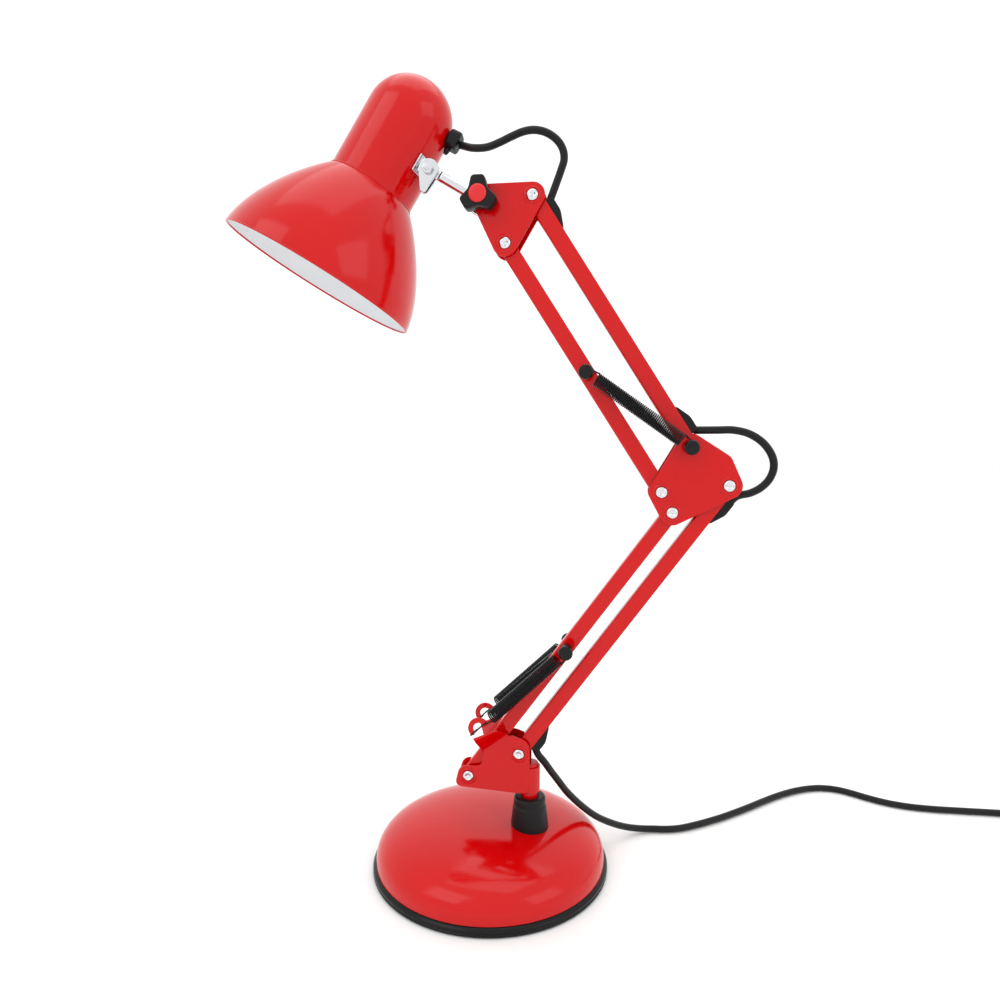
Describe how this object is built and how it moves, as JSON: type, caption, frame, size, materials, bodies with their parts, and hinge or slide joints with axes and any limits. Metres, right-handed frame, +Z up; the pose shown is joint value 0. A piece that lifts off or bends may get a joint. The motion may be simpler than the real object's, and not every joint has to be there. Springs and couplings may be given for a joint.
{
  "type": "architect desk lamp",
  "caption": "Architect desk lamp: weighted round base, swivel post, two sprung parallelogram arms and a tilting bell head on a clamped stem.",
  "frame": {"origin": "centre of the base's underside, on the table", "axes": "+Z up; +X along the arm plane, to the elbow's side; +Y behind the arm plane"},
  "size_m": [0.7601, 0.2496, 0.5892],
  "materials": {
    "red_enamel": "gloss powder enamel",
    "white_enamel": "white moulded, smooth",
    "chrome": "polished plate",
    "black_plastic": "moulded, satin",
    "black_flex": "extruded flex, satin",
    "spring_steel": "black oxide coil",
    "cast_iron": "as cast",
    "black_foam": "foam pad",
    "zinc_steel": "zinc plated",
    "opal_glass": "opal",
    "red_plastic": "moulded"
  },
  "bodies": {
    "base": {"base_shell": "red_enamel", "base_ring": "black_plastic", "base_pad": "black_foam", "base_ballast": "cast_iron", "collar": "black_plastic", "mains_lead": "black_flex", "switch_base": "black_plastic", "switch_cover": "black_plastic", "lead_to_coil": "black_flex", "lead_coil": "black_flex", "lead_to_plug": "black_flex", "plug_body": "black_plastic", "plug_pin_near": "chrome", "plug_pin_far": "chrome"},
    "swivel": {"swivel_post": "red_enamel", "post_clip": "zinc_steel", "base_bracket": "red_enamel", "rivet_base_main": "chrome", "rivet_base_second": "chrome"},
    "lower_main": {"lower_link_main": "red_enamel", "clip_lower_bottom": "black_plastic", "clip_lower_top": "black_plastic", "lower_link_flex": "black_flex"},
    "lower_second": {"lower_link_second": "red_enamel", "lower_peg": "black_plastic", "lower_spring_front": "spring_steel", "lower_spring_rear": "spring_steel"},
    "elbow": {"elbow_plate_front": "red_enamel", "elbow_plate_rear": "red_enamel", "rivet_elbow_main": "chrome", "rivet_elbow_lower": "chrome", "rivet_elbow_upper": "chrome", "elbow_peg": "black_plastic", "elbow_flex": "black_flex"},
    "upper_main": {"upper_link_main": "red_enamel", "clip_upper_bottom": "black_plastic", "clip_upper_top": "black_plastic", "upper_link_flex": "black_flex"},
    "upper_second": {"upper_link_second": "red_enamel", "upper_peg": "black_plastic", "upper_spring": "spring_steel"},
    "head_bracket": {"head_plate_front": "red_enamel", "head_plate_rear": "red_enamel", "rivet_head_main": "chrome", "rivet_head_second": "chrome", "knob_bolt": "zinc_steel", "clamp_washer_front": "zinc_steel", "clamp_washer_rear": "zinc_steel", "head_flex": "black_flex"},
    "knob": {"knob": "black_plastic", "knob_cap": "red_plastic"},
    "stem": {"head_stem": "chrome"},
    "head": {"shade": "red_enamel", "head_cap": "red_enamel", "flex_grommet": "black_plastic", "head_lug": "chrome", "lug_bolt": "chrome", "lampholder": "white_enamel", "bulb": "opal_glass"},
    "rocker": {"switch_rocker": "black_plastic"}
  },
  "joints": [
    {"name": "swivel", "type": "hinge", "parent": "base", "child": "swivel", "pos_m": [0.0315, -0.009, 0.06], "axis": [0, 0, 1], "range_deg": [-90, 90]},
    {"name": "shoulder", "type": "hinge", "parent": "swivel", "child": "lower_main", "pos_m": [0.024, -0.009, 0.0955], "axis": [0, 1, 0], "range_deg": [-45, 8], "deforming": ["mains_lead"]},
    {"name": "lower_second_pivot", "type": "hinge", "parent": "swivel", "child": "lower_second", "pos_m": [-0.014, -0.009, 0.0763], "axis": [0, 1, 0], "range_deg": [-45.5, 8.5], "deforming": ["lower_spring_front", "lower_spring_rear"]},
    {"name": "elbow_level", "type": "hinge", "parent": "lower_main", "child": "elbow", "pos_m": [0.1692, -0.009, 0.2964], "axis": [0, 1, 0], "range_deg": [-8.5, 45.5], "deforming": ["elbow_flex"]},
    {"name": "elbow_bend", "type": "hinge", "parent": "elbow", "child": "upper_main", "pos_m": [0.1426, -0.009, 0.323], "axis": [0, 1, 0], "range_deg": [-50, 20]},
    {"name": "upper_second_pivot", "type": "hinge", "parent": "elbow", "child": "upper_second", "pos_m": [0.1236, -0.009, 0.2914], "axis": [0, 1, 0], "range_deg": [-50.5, 20.5], "deforming": ["upper_spring"]},
    {"name": "head_level", "type": "hinge", "parent": "upper_main", "child": "head_bracket", "pos_m": [0.0325, -0.009, 0.4954], "axis": [0, 1, 0], "range_deg": [-20.5, 50.5], "deforming": ["head_flex"]},
    {"name": "knob_turn", "type": "hinge", "parent": "head_bracket", "child": "knob", "pos_m": [-0.0037, -0.009, 0.4946], "axis": [0, 1, 0], "range_deg": [-180, 180]},
    {"name": "stem_tilt", "type": "hinge", "parent": "head_bracket", "child": "stem", "pos_m": [-0.0037, -0.009, 0.4946], "axis": [0, 1, 0], "range_deg": [-25, 30]},
    {"name": "head_tilt", "type": "hinge", "parent": "stem", "child": "head", "pos_m": [-0.0417, -0.009, 0.5176], "axis": [0, 1, 0], "range_deg": [-20, 12]},
    {"name": "switch_rock", "type": "hinge", "parent": "base", "child": "rocker", "pos_m": [0.467, 0.132, 0.0158], "axis": [0, 1, 0], "range_deg": [-9, 0]}
  ],
  "couplings": [
    {"joint": "lower_second_pivot", "follows": "shoulder", "ratio": 1},
    {"joint": "elbow_level", "follows": "shoulder", "ratio": -1},
    {"joint": "upper_second_pivot", "follows": "elbow_bend", "ratio": 1},
    {"joint": "head_level", "follows": "elbow_bend", "ratio": -1}
  ]
}
